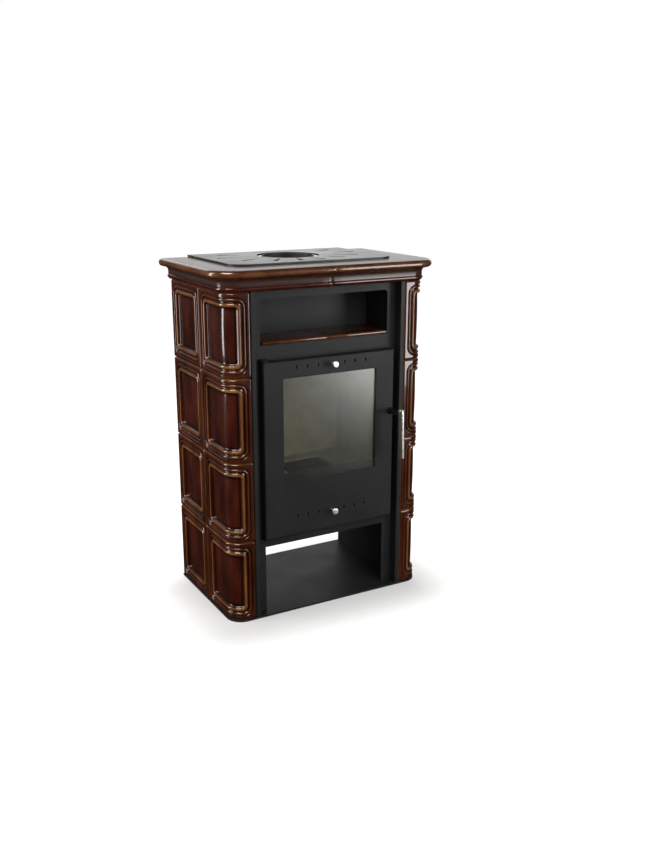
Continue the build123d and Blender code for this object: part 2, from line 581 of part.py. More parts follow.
# Air slides behind the door's two rows of holes, with their guides and knobs
slide_half_height, slide_half_length, slide_gap, slide_thickness = 13.0, 125.0, 0.4, 2.0
slide_front = tape_front + slide_gap
slide_back = slide_front + slide_thickness
guide_width, guide_x, guide_lip, guide_sheet = 10.0, 57.2, 2.5, 1.5
with BuildPart() as slide_guides:
    for holes_z in (upper_holes_z, lower_holes_z):
        guide_top = holes_z + slide_half_height + slide_gap
        guide_foot = holes_z - slide_half_height - slide_gap
        guide_range = (-guide_x - guide_width / 2, -guide_x + guide_width / 2)
        block(guide_range, (tape_front, slide_back + slide_gap + guide_sheet),
              (guide_foot - guide_lip, guide_top + guide_lip))
        block(guide_range, (tape_front, slide_back + slide_gap), (guide_foot, guide_top), mode=Mode.SUBTRACT)
    mirror(about=Plane.YZ)
save(slide_guides.part, "slide_guides")

knob_back, knob_head, knob_edge, knob_back_edge = -204.0, 6.5, 2.0, 1.0
for level, holes_z in (("upper", upper_holes_z), ("lower", lower_holes_z)):
    with BuildPart() as air_slide:
        block((knob_rest - slide_half_length, knob_rest + slide_half_length), (slide_front, slide_back),
              (holes_z - slide_half_height, holes_z + slide_half_height))
        with BuildSketch(Plane.XZ.offset(-slide_front)):
            with Locations(*[(hole_x + knob_rest - knob_open, holes_z) for hole_x in hole_places]):
                Circle(hole_radius)
        extrude(amount=-slide_thickness, mode=Mode.SUBTRACT)
    save(air_slide.part, f"{level}_air_slide")

    with BuildPart() as air_knob:
        with BuildSketch(Plane.XZ.offset(-slide_front)):
            with Locations((knob_rest, holes_z)):
                Circle(knob_stem_radius)
        extrude(amount=slide_front - knob_back + 2)
        with BuildSketch(Plane.XZ.offset(-knob_back)):
            with Locations((knob_rest, holes_z)):
                Circle(knob_head_radius)
        extrude(amount=knob_head)
        fillet(air_knob.faces().sort_by(Axis.Y)[0].edges(), radius=knob_edge)
        rims = air_knob.edges().filter_by(GeomType.CIRCLE)
        fillet(rims.filter_by(lambda edge: edge.radius > knob_head_radius - 0.5), radius=knob_back_edge)
    save(air_knob.part, f"{level}_air_knob")

# Handle: a turned stem through the door, a leaning round bar on its outer end and the latch tongue within
shaft_end, flange_gap, stem_flange, stem_neck, stem_tip = -165.0, 0.3, 10.0, 6.5, 8.0
stem_profile = [(0, shaft_end), (shaft_radius, shaft_end), (shaft_radius, door_front - flange_gap),
                (stem_flange, door_front - flange_gap), (stem_flange, door_front - flange_gap - 4),
                (stem_neck, door_front - 7), (stem_neck, door_front - 20), (stem_tip, bar_y + bar_radius),
                (shaft_radius, bar_y + bar_radius), (shaft_radius, bar_y), (0, bar_y)]
with BuildPart() as handle_stem:
    with BuildSketch(Plane.XY.offset(handle_z)):
        with BuildLine():
            Polyline(*[(handle_x + radius, depth) for radius, depth in stem_profile], close=True)
        make_face()
    revolve(axis=Axis((handle_x, 0, handle_z), (0, 1, 0)))
save(handle_stem.part, "handle_stem")

lean, bar_chamfer = radians(bar_lean), 0.8
with BuildPart() as handle_bar:
    bar_foot = (handle_x + bar_below * sin(lean), bar_y, handle_z - bar_below * cos(lean))
    with BuildSketch(Plane(origin=bar_foot, z_dir=(-sin(lean), 0, cos(lean)))):
        Circle(bar_radius)
    extrude(amount=bar_above + bar_below)
    chamfer(handle_bar.edges(), length=bar_chamfer)
    with BuildSketch(Plane.XZ.offset(-bar_y)):
        with Locations((handle_x, handle_z)):
            Circle(shaft_radius)
    extrude(amount=-bar_radius, mode=Mode.SUBTRACT)
save(handle_bar.part, "handle_bar")

tongue_front, tongue_thickness, tongue_hub = -172.0, 4.0, 7.0
tongue_half_width, tongue_reach = 4.0, 28.0
with BuildPart() as latch_tongue:
    with BuildSketch(Plane.XZ.offset(-tongue_front)):
        with Locations((handle_x, handle_z)):
            Circle(tongue_hub)
        with Locations((handle_x, handle_z + tongue_reach / 2)):
            Rectangle(2 * tongue_half_width, tongue_reach)
        with Locations((handle_x, handle_z)):
            Circle(shaft_radius, mode=Mode.SUBTRACT)
    extrude(amount=-tongue_thickness)
save(latch_tongue.part, "latch_tongue")
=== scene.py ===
import bpy
import numpy as np
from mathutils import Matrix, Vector


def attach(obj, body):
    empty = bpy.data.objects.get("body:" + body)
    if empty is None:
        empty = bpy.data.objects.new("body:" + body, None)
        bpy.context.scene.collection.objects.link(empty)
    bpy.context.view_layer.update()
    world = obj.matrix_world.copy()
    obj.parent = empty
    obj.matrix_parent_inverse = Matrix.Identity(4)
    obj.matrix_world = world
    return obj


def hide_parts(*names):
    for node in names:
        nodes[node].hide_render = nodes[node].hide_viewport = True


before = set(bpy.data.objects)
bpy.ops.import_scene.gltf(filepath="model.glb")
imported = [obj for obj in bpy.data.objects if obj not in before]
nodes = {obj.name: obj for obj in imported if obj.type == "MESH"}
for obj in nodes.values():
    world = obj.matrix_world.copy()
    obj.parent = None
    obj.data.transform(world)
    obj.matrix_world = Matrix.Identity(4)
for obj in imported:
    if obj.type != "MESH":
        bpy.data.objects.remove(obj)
bpy.context.view_layer.update()
mm = 0.001
white = (1.0, 1.0, 1.0, 1.0)
print("frame loaded:", len(nodes), "nodes")


def colour(hexCode):
    # sRGB hex to the linear values that shaders take
    channels = np.array([int(hexCode[i:i + 2], 16) for i in (1, 3, 5)]) / 255
    linear = np.where(channels <= 0.04045, channels / 12.92, ((channels + 0.055) / 1.055) ** 2.4)
    return (*linear.tolist(), 1.0)


def addNode(tree, kind, settings=None, links=None):
    # settings holds the node's own properties and its unlinked inputs, links the inputs fed by other outputs
    made = tree.nodes.new(kind)
    for name, value in (settings or {}).items():
        if isinstance(name, str) and hasattr(made, name):
            setattr(made, name, value)
        else:
            made.inputs[name].default_value = value
    for name, source in (links or {}).items():
        tree.links.new(source, made.inputs[name])
    return made


def newMaterial(name):
    # An empty material with its output and the object's own coordinates
    material = bpy.data.materials.new(name)
    material.use_nodes = True
    tree = material.node_tree
    tree.nodes.clear()
    output = tree.nodes.new("ShaderNodeOutputMaterial")
    return material, tree, output, addNode(tree, "ShaderNodeTexCoord").outputs["Object"]


def addObject(name, data):
    made = bpy.data.objects.new(name, data)
    bpy.context.scene.collection.objects.link(made)
    return made


def aimAt(thing, eye, target):
    # Cameras and lamps look along their own -Z
    thing.location = eye
    thing.rotation_euler = (Vector(target) - Vector(eye)).to_track_quat("-Z", "Y").to_euler()


def makeObject(name, vertices, faces, body, slot, node, crease, attributes=None):
    # A smooth mesh with creases at edges sharper than so many degrees, in the place of one CAD node
    mesh = bpy.data.meshes.new(name)
    mesh.from_pydata(vertices.tolist(), [], faces)
    mesh.polygons.foreach_set("use_smooth", np.ones(len(mesh.polygons), bool))
    mesh.set_sharp_from_angle(angle=np.radians(crease))
    for label, values in (attributes or {}).items():
        mesh.attributes.new(label, "FLOAT", "POINT").data.foreach_set("value", values.astype(np.float32))
    mesh.materials.append(materials[slot])
    piece = addObject(name, mesh)
    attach(piece, body)
    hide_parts(node)


def makeBothSides(name, node, vertices, faces, crease, attributes):
    # A glazed piece of the left side and its mirror image on the right, whose faces are turned round again
    for side, sign in (("left", 1), ("right", -1)):
        turned = faces if sign > 0 else [face[::-1] for face in faces]
        makeObject(f"{side}{name}", vertices * (sign, 1, 1), turned, "stove", "brown_glaze", f"{side}_{node}",
                   crease, attributes)


def gridFaces(rows, columns, closeColumns=False):
    # Quads between neighbouring points of a grid that is stored row after row
    i, j = np.meshgrid(np.arange(rows - 1), np.arange(columns - (not closeColumns)), indexing="ij")
    right = (j + 1) % columns
    corners = [i * columns + j, i * columns + right, (i + 1) * columns + right, (i + 1) * columns + j]
    return np.stack(corners, -1).reshape(-1, 4).tolist()


def softStep(value, start, end):
    # From 0 to 1 between start and end, level at both
    t = np.clip((value - start) / (end - start), 0, 1)
    return t * t * (3 - 2 * t)


def hump(value, middle, width, power=2):
    # A bell of height 1 that falls off over the width, flatter at the top for a higher power
    return np.exp(-np.abs((value - middle) / width) ** power)


# The camera stands where the photograph's did, solved from the stove's own edges. Places in metres
cameraSetup = {"eye": (-1.22209, -2.31895, 1.2099), "target": (0.0785, -0.00746, 0.44878),
               "lens": 39.02, "sensorHeight": 36.0}


def makeCamera(setup):
    data = bpy.data.cameras.new("camera")
    data.sensor_fit = "VERTICAL"
    data.sensor_height = setup["sensorHeight"]
    data.lens = setup["lens"]
    camera = addObject("camera", data)
    aimAt(camera, setup["eye"], setup["target"])
    bpy.context.scene.camera = camera


makeCamera(cameraSetup)
print("camera set")

# The ends of a Map Range, and where nearly all the values of a noise texture lie
rangeEnds = ("From Min", "From Max", "To Min", "To Max")
noiseSpan = (0.3, 0.7)

# Brown tile glaze, poured on and fired: it lies thick and nearly black-red in the hollows, and draws off
# every raised edge until the pale clay shows through as amber, all under one glassy skin. Lengths are in
# metres. Runs are 45 mm wide and waves 30 mm, as glaze flows. The flecks, really some tenths of a
# millimetre, are drawn at 1.6 mm so that they show. The tones go from pooled to body by depth, then from
# edge to crest by how thin the glaze is
glazeLook = {
    "pooled": "#150705", "thick": "#2b0d06", "body": "#521c0c", "bodySpan": (0.36, 0.72),
    "poolSpan": (-0.6, 0.0), "edge": "#40220f", "bead": "#74441e", "crest": "#a0703a",
    "stops": (0.15, 0.6, 0.95), "thinSpread": (0.7, 1.2), "bareSpan": (0.04, 0.4),
    "run": 0.045, "runStretch": (1.0, 1.0, 0.3), "fleck": 0.0016, "fleckTones": (0.93, 1.05),
    "wave": 0.03, "waveHeight": 0.001, "waveStrength": 0.3, "ior": 1.5, "specular": 0.1,
    # the grey below is painted into the cornice's cove as a reflection, and lies on its top as well
    "roughness": (0.272, 0.442), "skin": 0.8, "skinRoughness": 0.1, "dullAndReflectionGrey": "#3a2e29", "dullRoughness": 0.5,
}


def makeGlaze(look):
    material, tree, output, place = newMaterial("brown fired glaze")
    thin = addNode(tree, "ShaderNodeAttribute", {"attribute_name": "thinGlaze"}).outputs["Fac"]
    dullAndReflectionGrey = addNode(tree, "ShaderNodeAttribute", {"attribute_name": "dullGlazeAndReflectionGrey"}).outputs["Fac"]
    # the glaze ran down while it melted, so its clouds are drawn out upright
    drawn = addNode(tree, "ShaderNodeMapping", {"Scale": look["runStretch"]}, {"Vector": place})
    runs = addNode(tree, "ShaderNodeTexNoise", {"Scale": 1 / look["run"], "Detail": 4.0, "Roughness": 0.55},
                   {"Vector": drawn.outputs[0]}).outputs["Fac"]
    bodyTone = addNode(tree, "ShaderNodeMapRange", dict(zip(rangeEnds, look["bodySpan"])), {"Value": runs})
    pool = addNode(tree, "ShaderNodeMix",
                   {"data_type": "RGBA", 6: colour(look["thick"]), 7: colour(look["body"])},
                   {0: bodyTone.outputs["Result"]})
    sunk = addNode(tree, "ShaderNodeMapRange", dict(zip(rangeEnds, look["poolSpan"])), {"Value": thin})
    deep = addNode(tree, "ShaderNodeMix", {"data_type": "RGBA", 6: colour(look["pooled"])},
                   {0: sunk.outputs["Result"], 7: pool.outputs[2]})
    # thinness, uneven along the runs, picks the amber tones
    uneven = addNode(tree, "ShaderNodeMapRange", dict(zip(rangeEnds, noiseSpan + look["thinSpread"])),
                     {"Value": runs})
    amount = addNode(tree, "ShaderNodeMath", {"operation": "MULTIPLY", "use_clamp": True},
                     {0: thin, 1: uneven.outputs["Result"]})
    ramp = addNode(tree, "ShaderNodeValToRGB", {}, {"Fac": amount.outputs[0]})
    stops = ramp.color_ramp.elements
    stops.new(look["stops"][2])
    for stop, at, tone in zip(stops, look["stops"], ("edge", "bead", "crest")):
        stop.position = at
        stop.color = colour(look[tone])
    bare = addNode(tree, "ShaderNodeMapRange", dict(zip(rangeEnds, look["bareSpan"])),
                   {"Value": amount.outputs[0]})
    mixed = addNode(tree, "ShaderNodeMix", {"data_type": "RGBA"},
                    {0: bare.outputs["Result"], 6: deep.outputs[2], 7: ramp.outputs["Color"]})
    # in the cornice's hollow and on its top the glaze is dull and greyed, and in the hollow that grey is a
    # painted reflection
    greyed = addNode(tree, "ShaderNodeMix", {"data_type": "RGBA", 7: colour(look["dullAndReflectionGrey"])},
                     {0: dullAndReflectionGrey, 6: mixed.outputs[2]})
    grains = addNode(tree, "ShaderNodeTexNoise", {"Scale": 1 / look["fleck"], "Detail": 2.0},
                     {"Vector": place})
    flecks = addNode(tree, "ShaderNodeMapRange", dict(zip(rangeEnds, noiseSpan + look["fleckTones"])),
                     {"Value": grains.outputs["Fac"]})
    finish = addNode(tree, "ShaderNodeMix", {"data_type": "RGBA", "blend_type": "MULTIPLY", 0: 1.0},
                     {6: greyed.outputs[2], 7: flecks.outputs["Result"]})
    waves = addNode(tree, "ShaderNodeTexNoise", {"Scale": 1 / look["wave"], "Detail": 1.0}, {"Vector": place})
    bump = addNode(tree, "ShaderNodeBump", {"Strength": look["waveStrength"], "Distance": look["waveHeight"]},
                   {"Height": waves.outputs["Fac"]})
    shine = addNode(tree, "ShaderNodeMapRange", dict(zip(rangeEnds, noiseSpan + look["roughness"])),
                    {"Value": runs})
    matt = addNode(tree, "ShaderNodeMix", {"data_type": "FLOAT", 3: look["dullRoughness"]},
                   {0: dullAndReflectionGrey, 2: shine.outputs["Result"]})
    skin = addNode(tree, "ShaderNodeMapRange", {"To Min": look["skin"], "To Max": 0.0}, {"Value": dullAndReflectionGrey})
    shader = addNode(tree, "ShaderNodeBsdfPrincipled",
                     {"IOR": look["ior"], "Specular IOR Level": look["specular"],
                      "Coat Roughness": look["skinRoughness"]},
                     {"Base Color": finish.outputs[2], "Roughness": matt.outputs["Result"],
                      "Normal": bump.outputs["Normal"], "Coat Weight": skin.outputs["Result"],
                      "Coat Normal": bump.outputs["Normal"]})
    tree.links.new(shader.outputs[0], output.inputs["Surface"])
    return material


materials = {"brown_glaze": makeGlaze(glazeLook)}

# Finishes of the steel, iron, brick and rope. Each has two tones, a grain size, the size of its clouds and
# its relief in metres, and two roughnesses that it drifts between. The grain of paint, primer, enamel and
# plating is really a few hundredths of a millimetre, and is drawn at about 1 mm so that it shows
finishes = {
    # sprayed and baked, so an even soft black that hardly mirrors
    "black_paint": {"name": "heat-proof matt paint", "dark": "#1d1e1f", "light": "#262728", "grain": 0.0011,
                    "cloud": 0.12, "relief": 0.00008, "roughness": (0.44, 0.56), "metallic": 0.0,
                    "ior": 1.4, "specular": 0.2},
    # sprayed on a flat plate, where it flows smoother: it turns pale at a flat angle
    "cover_paint": {"name": "satin top-plate paint", "dark": "#1d1f1d", "light": "#262825", "grain": 0.0011,
                    "cloud": 0.15, "relief": 0.00004, "roughness": (0.35, 0.45), "metallic": 0.0,
                    "ior": 1.5},
    # rolled sheet under one thin coat, left as it is inside: flat dark grey with faint clouds
    "sheet_steel": {"name": "primed sheet steel", "dark": "#27292a", "light": "#343637", "grain": 0.0014,
                    "cloud": 0.09, "relief": 0.00006, "roughness": (0.45, 0.65), "metallic": 0.0,
                    "ior": 1.45},
    # rolled hot, so its scale lies in blue-black patches of a few centimetres over half-bright metal
    "raw_steel": {"name": "hot-rolled steel", "dark": "#2a2b2c", "light": "#3c3d3e", "grain": 0.0025,
                  "cloud": 0.06, "relief": 0.0001, "roughness": (0.35, 0.65), "metallic": 0.6, "ior": 1.5},
    # pressed from 3 mm flakes and fired: pale, chalky and without any shine
    "firebrick": {"name": "vermiculite board", "dark": "#aaa699", "light": "#c3bfb3", "grain": 0.003,
                  "cloud": 0.03, "relief": 0.0004, "roughness": (0.85, 0.95), "metallic": 0.0,
                  "ior": 1.45},
    # cast in sand and not ground: grey, with a pebbled skin
    "cast_iron": {"name": "sand-cast iron", "dark": "#3b4040", "light": "#4d5354", "grain": 0.0016,
                  "cloud": 0.05, "relief": 0.0003, "roughness": (0.48, 0.72), "metallic": 0.3, "ior": 1.5},
    # woven from 1.8 mm yarn: dull, with a coarse relief
    "glass_fibre": {"name": "woven glass fibre", "dark": "#2f2f2e", "light": "#55534f", "grain": 0.0018,
                    "cloud": 0.02, "relief": 0.0004, "roughness": (0.92, 0.98), "metallic": 0.0,
                    "ior": 1.45},
    # pressed powder, so a brown metal with a fine matt grain
    "bronze": {"name": "sintered bronze", "dark": "#7a5a34", "light": "#a07a48", "grain": 0.0008,
               "cloud": 0.01, "relief": 0.00005, "roughness": (0.3, 0.5), "metallic": 1.0, "ior": 1.5},
    # plated in a bath: bright and slightly clouded
    "screw_steel": {"name": "zinc-plated steel", "dark": "#8e9194", "light": "#b4b6b8", "grain": 0.0009,
                    "cloud": 0.01, "relief": 0.00003, "roughness": (0.25, 0.45), "metallic": 1.0,
                    "ior": 1.5},
    # turned, then enamelled and fired: a wet-looking black with small bright highlights
    "black_metal": {"name": "black enamelled steel", "dark": "#101112", "light": "#1a1b1c", "grain": 0.0009,
                    "cloud": 0.02, "relief": 0.00003, "roughness": (0.13, 0.21), "metallic": 0.0,
                    "ior": 1.5},
}

# What these finishes share: how the tone is mixed from both noises, and the usual specular level
finishPattern = {"grainShare": 0.45, "cloudShare": 0.55, "toneSpan": (0.35, 0.65), "reliefStrength": 0.6,
                 "specular": 0.5}


def makeFinish(look, pattern):
    # Clouds and grain shift the tone, the grain raises the surface and the clouds change its gloss
    material, tree, output, place = newMaterial(look["name"])
    cloud = addNode(tree, "ShaderNodeTexNoise", {"Scale": 1 / look["cloud"], "Detail": 3.0},
                    {"Vector": place})
    grain = addNode(tree, "ShaderNodeTexNoise", {"Scale": 1 / look["grain"], "Detail": 3.0, "Roughness": 0.6},
                    {"Vector": place})
    clouded = addNode(tree, "ShaderNodeMath", {"operation": "MULTIPLY", 1: pattern["cloudShare"]},
                      {0: cloud.outputs["Fac"]})
    both = addNode(tree, "ShaderNodeMath", {"operation": "MULTIPLY_ADD", 1: pattern["grainShare"]},
                   {0: grain.outputs["Fac"], 2: clouded.outputs[0]})
    tone = addNode(tree, "ShaderNodeMapRange", dict(zip(rangeEnds, pattern["toneSpan"])),
                   {"Value": both.outputs[0]})
    paint = addNode(tree, "ShaderNodeMix",
                    {"data_type": "RGBA", 6: colour(look["dark"]), 7: colour(look["light"])},
                    {0: tone.outputs["Result"]})
    rough = addNode(tree, "ShaderNodeMapRange", dict(zip(rangeEnds, noiseSpan + look["roughness"])),
                    {"Value": cloud.outputs["Fac"]})
    bump = addNode(tree, "ShaderNodeBump",
                   {"Strength": pattern["reliefStrength"], "Distance": look["relief"]},
                   {"Height": grain.outputs["Fac"]})
    shader = addNode(tree, "ShaderNodeBsdfPrincipled",
                     {"IOR": look["ior"], "Metallic": look["metallic"],
                      "Specular IOR Level": look.get("specular", pattern["specular"])},
                     {"Base Color": paint.outputs[2], "Roughness": rough.outputs["Result"],
                      "Normal": bump.outputs["Normal"]})
    tree.links.new(shader.outputs[0], output.inputs["Surface"])
    return material


for slot, look in finishes.items():
    materials[slot] = makeFinish(look, finishPattern)

# Stainless steel with fine tool marks that break up its reflections. The marks, really about 0.05 mm apart,
# are drawn at 0.4 to 0.5 mm so that they show. The bar is brushed round, so they vary along its length. The
# knobs are turned and polished, and theirs run out along the knob's axis, as a soft grain on the face
steelLooks = {
    "stainless": {"name": "brushed stainless steel", "dark": "#b6b5b3", "light": "#e8e6e2", "lines": 0.0005,
                  "stretch": (0.05, 0.05, 1.0), "roughness": (0.252, 0.504)},
    "knob_metal": {"name": "turned and polished steel", "dark": "#c4c5c2", "light": "#efefeb",
                   "lines": 0.0004, "stretch": (1.0, 0.05, 1.0), "roughness": (0.294, 0.588)},
}


def makeSteel(look):
    material, tree, output, place = newMaterial(look["name"])
    squeezed = addNode(tree, "ShaderNodeMapping", {"Scale": look["stretch"]}, {"Vector": place})
    lines = addNode(tree, "ShaderNodeTexNoise", {"Scale": 1 / look["lines"], "Detail": 2.0},
                    {"Vector": squeezed.outputs[0]})
    tone = addNode(tree, "ShaderNodeMix",
                   {"data_type": "RGBA", 6: colour(look["dark"]), 7: colour(look["light"])},
                   {0: lines.outputs["Fac"]})
    rough = addNode(tree, "ShaderNodeMapRange", dict(zip(rangeEnds, (0.0, 1.0) + look["roughness"])),
                    {"Value": lines.outputs["Fac"]})
    shader = addNode(tree, "ShaderNodeBsdfPrincipled", {"Metallic": 1.0},
                     {"Base Color": tone.outputs[2], "Roughness": rough.outputs["Result"]})
    tree.links.new(shader.outputs[0], output.inputs["Surface"])
    return material


for slot, look in steelLooks.items():
    materials[slot] = makeSteel(look)

# Glass-ceramic pane, rolled and then ceramised: clear and faintly warm, mirror-like at grazing angles, with
# the thin film that fire and wiping leave on it, which spreads a soft haze round bright reflections. Its
# smears are about 110 mm wide, nine to a metre
glassLook = {"tint": "#dfe0d9", "smears": 9.0, "smearTones": (0.97, 1.0), "ior": 1.5, "film": 0.003,
             "filmRoughness": 0.55, "mirrorRoughness": 0.27}


def makePane(look):
    material, tree, output, place = newMaterial("glass-ceramic pane")
    smear = addNode(tree, "ShaderNodeTexNoise", {"Scale": look["smears"], "Detail": 3.0}, {"Vector": place})
    tint = addNode(tree, "ShaderNodeMapRange", dict(zip(rangeEnds, noiseSpan + look["smearTones"])),
                   {"Value": smear.outputs["Fac"]})
    shade = addNode(tree, "ShaderNodeMix", {"data_type": "RGBA", "blend_type": "MULTIPLY", 0: 1.0,
                                            6: colour(look["tint"])}, {7: tint.outputs["Result"]})
    clear = addNode(tree, "ShaderNodeBsdfTransparent", {}, {"Color": shade.outputs[2]})
    haze = addNode(tree, "ShaderNodeBsdfGlossy", {"Roughness": look["filmRoughness"], "Color": white})
    filmed = addNode(tree, "ShaderNodeMixShader", {0: look["film"]},
                     {1: clear.outputs[0], 2: haze.outputs[0]})
    mirror = addNode(tree, "ShaderNodeBsdfGlossy", {"Roughness": look["mirrorRoughness"], "Color": white})
    fresnel = addNode(tree, "ShaderNodeFresnel", {"IOR": look["ior"]})
    mixed = addNode(tree, "ShaderNodeMixShader", {},
                    {0: fresnel.outputs[0], 1: filmed.outputs[0], 2: mirror.outputs[0]})
    tree.links.new(mixed.outputs[0], output.inputs["Surface"])
    return material


materials["fire_glass"] = makePane(glassLook)
print("materials made:", len(materials))

# Cladding tiles, pressed in clay. Depths are measured in from the outer face and insets from the tile's own
# edges, in millimetres. Each border runs parallel to the edges and turns the corners with a bend of its own
tileShape = {
    "halfWidth": 304.5, "halfDepth": 186.0, "cornerRadius": 45.0, "thickness": 28.0, "edgeRadius": 5.0,
    "rows": [5.5, 230.5, 453.5, 680.0, 900.0], "seam": -15.8, "frontEnd": 233.5, "gap": 0.5,
    "band": {"start": 10.2, "end": 12.0, "depth": 4.0, "bend": 37.0},
    "outerBead": {"inset": 17.0, "radius": 4.0, "centre": 4.0, "bend": 37.0},
    "innerBead": {"inset": 30.5, "radius": 6.0, "centre": 6.0, "bend": 42.5},
    "fillet": {"height": 0.5, "width": 0.9},
    "groove": {"inset": 22.7, "width": 1.6, "depth": 0.9},
    "panel": {"start": 33.5, "end": 39.0, "inset": 41.0, "depth": 7.5, "bend": 42.5, "crown": 1.7},
    "crease": 50,
}

# Grid lines of a tile: close together over the rounded edge, 1 mm apart over the beads, wide on the panel
tileGrid = {"edge": [0.0, 0.12, 0.45, 1.0, 1.8, 2.8, 3.9, 5.0, 6.5, 8.0, 9.2], "borders": (10.0, 46.0),
            "fine": 1.0, "coarse": 6.0}

# Where the glaze of a tile is thin, towards 1, and where it pools, below nought. Each hump has the border
# that it is measured from, its amount, inset, width and power
tileGlazing = {
    "thin": [("edge", 0.75, 0.0, 2.0, 2), ("edge", 0.16, 7.0, 4.5, 4), ("outerBead", 0.36, 17.0, 2.6, 3),
             ("innerBead", 0.68, 30.5, 4.7, 3)],
    "pooled": [("outerBead", 0.5, 23.0, 1.8, 2), ("panel", 0.55, 40.0, 4.5, 2)],
    "poolsBelow": 0.3, "back": 0.3,
}


def tileStops(length, grid):
    border = np.array(grid["edge"] + list(np.arange(*grid["borders"], grid["fine"])))
    count = int(np.ceil((length - 2 * border[-1]) / grid["coarse"]))
    middle = np.linspace(border[-1], length - border[-1], count + 1)[1:-1]
    return np.concatenate([border, middle, length - border[::-1]])


def edgeDistance(u, z, width, height, bend=0.0):
    # Distance in from a rectangle whose corners are rounded with the bend
    a = np.maximum(bend - np.minimum(u, width - u), 0)
    b = np.maximum(bend - np.minimum(z, height - z), 0)
    straight = np.minimum(np.minimum(u, width - u), np.minimum(z, height - z))
    return np.where((a > 0) & (b > 0), bend - np.hypot(a, b), straight)


def beadRise(distance, bead, bandDepth, fillet):
    # A round rod half sunk in the band: the circle's height above the band, with small fillets at its feet
    away = np.abs(distance - bead["inset"])
    sunk = bead["centre"] - bandDepth
    circle = np.sqrt(np.maximum(bead["radius"] ** 2 - away ** 2, 0)) - sunk
    foot = fillet["height"] * hump(away, np.sqrt(bead["radius"] ** 2 - sunk ** 2), fillet["width"])
    return np.maximum(np.maximum(circle, 0), foot)


def tileDepth(u, z, width, height, insets, shape):
    # Depth of the glazed face: a sunk band, two beads on it with a groove between them, and a sunk panel
    # with a pillow on it, which is the product of two parabolas
    band, groove, panel = shape["band"], shape["groove"], shape["panel"]
    depth = band["depth"] * softStep(insets["band"], band["start"], band["end"])
    for part in ("outerBead", "innerBead"):
        depth -= beadRise(insets[part], shape[part], band["depth"], shape["fillet"])
    depth += groove["depth"] * hump(insets["outerBead"], groove["inset"], groove["width"])
    depth += (panel["depth"] - band["depth"]) * softStep(insets["panel"], panel["start"], panel["end"])
    pillow = panel["crown"]
    for place, length in ((u, width), (z, height)):
        reach = np.clip(1 - np.abs(2 * place / length - 1) * length / (length - 2 * panel["inset"]), 0, 1)
        pillow = pillow * (1 - (1 - reach) ** 2)
    return depth - pillow


def tileThinness(insets, glazing):
    # The thin humps added up, less the pools wherever the glaze isn't thin already
    total = {kind: sum(amount * hump(insets[part], inset, width, power)
                       for part, amount, inset, width, power in glazing[kind])
             for kind in ("thin", "pooled")}
    return total["thin"] - total["pooled"] * (total["thin"] < glazing["poolsBelow"])


def sidePlan(u, depth, shape):
    # The flat side tile runs forward from the rear edge
    return depth - shape["halfWidth"], shape["halfDepth"] - u


def cornerPlan(u, depth, shape):
    # The corner tile runs forward along the side, round the corner, then a little way along the front
    radius = shape["cornerRadius"]
    straight = radius - shape["halfDepth"]
    start = shape["seam"] - shape["gap"]
    turn = np.clip((u - (start - straight)) / radius, 0, np.pi / 2)
    before = np.minimum(u, start - straight)
    after = np.maximum(u - (start - straight) - radius * np.pi / 2, 0)
    x = radius - shape["halfWidth"] - (radius - depth) * np.cos(turn) + after
    y = np.where(turn > 0, straight - (radius - depth) * np.sin(turn), start - before)
    return x, y


def tileWidth(kind, shape):
    # Length of the outer face in plan
    if kind == "side":
        return shape["halfDepth"] - shape["seam"] - shape["gap"]
    run = shape["seam"] - shape["gap"] - (shape["cornerRadius"] - shape["halfDepth"])
    reach = shape["halfWidth"] - shape["cornerRadius"] - shape["frontEnd"] - shape["gap"]
    return run + shape["cornerRadius"] * np.pi / 2 + reach


def roundCorners(u, z, width, height, radius):
    # Squares at the corners are drawn in to quarter discs by a' = a sqrt(1 - b^2 / 2r^2), and the same for
    # b. Gives the moved points and the depth of the rounded edge
    a = np.maximum(radius - np.minimum(u, width - u), 0)
    b = np.maximum(radius - np.minimum(z, height - z), 0)
    aDrawn = a * np.sqrt(1 - b ** 2 / (2 * radius ** 2))
    bDrawn = b * np.sqrt(1 - a ** 2 / (2 * radius ** 2))
    depth = radius - np.sqrt(np.maximum(radius ** 2 - aDrawn ** 2 - bDrawn ** 2, 0))
    return u + (a - aDrawn) * np.sign(width / 2 - u), z + (b - bDrawn) * np.sign(height / 2 - z), depth


def tileFaces(rows, columns):
    # The glazed grid, a skirt from its rim to the back, and strips across the back with two many-sided end
    # strips. Gives the faces and which grid points are on the rim
    order = np.arange(rows * columns).reshape(rows, columns)
    rim = np.concatenate([order[0, :-1], order[:-1, -1], order[-1, :0:-1], order[:0:-1, 0]])
    back = rows * columns + np.arange(len(rim))
    skirt = np.stack([rim, back, np.roll(back, -1), np.roll(rim, -1)], -1)
    bottom = back[:columns]
    right = back[columns - 1:columns + rows - 1]
    top = back[columns + rows - 2:2 * columns + rows - 2][::-1]
    left = back[2 * columns + rows - 3:][::-1]
    strips = np.stack([bottom[1:-2], top[1:-2], top[2:-1], bottom[2:-1]], -1)
    endStrips = [[bottom[0], *left[:-1], top[0], top[1], bottom[1]], [bottom[-2], top[-2], *right[::-1]]]
    faces = gridFaces(rows, columns) + skirt.tolist() + strips.tolist()
    return faces + [[int(point) for point in end] for end in endStrips], rim


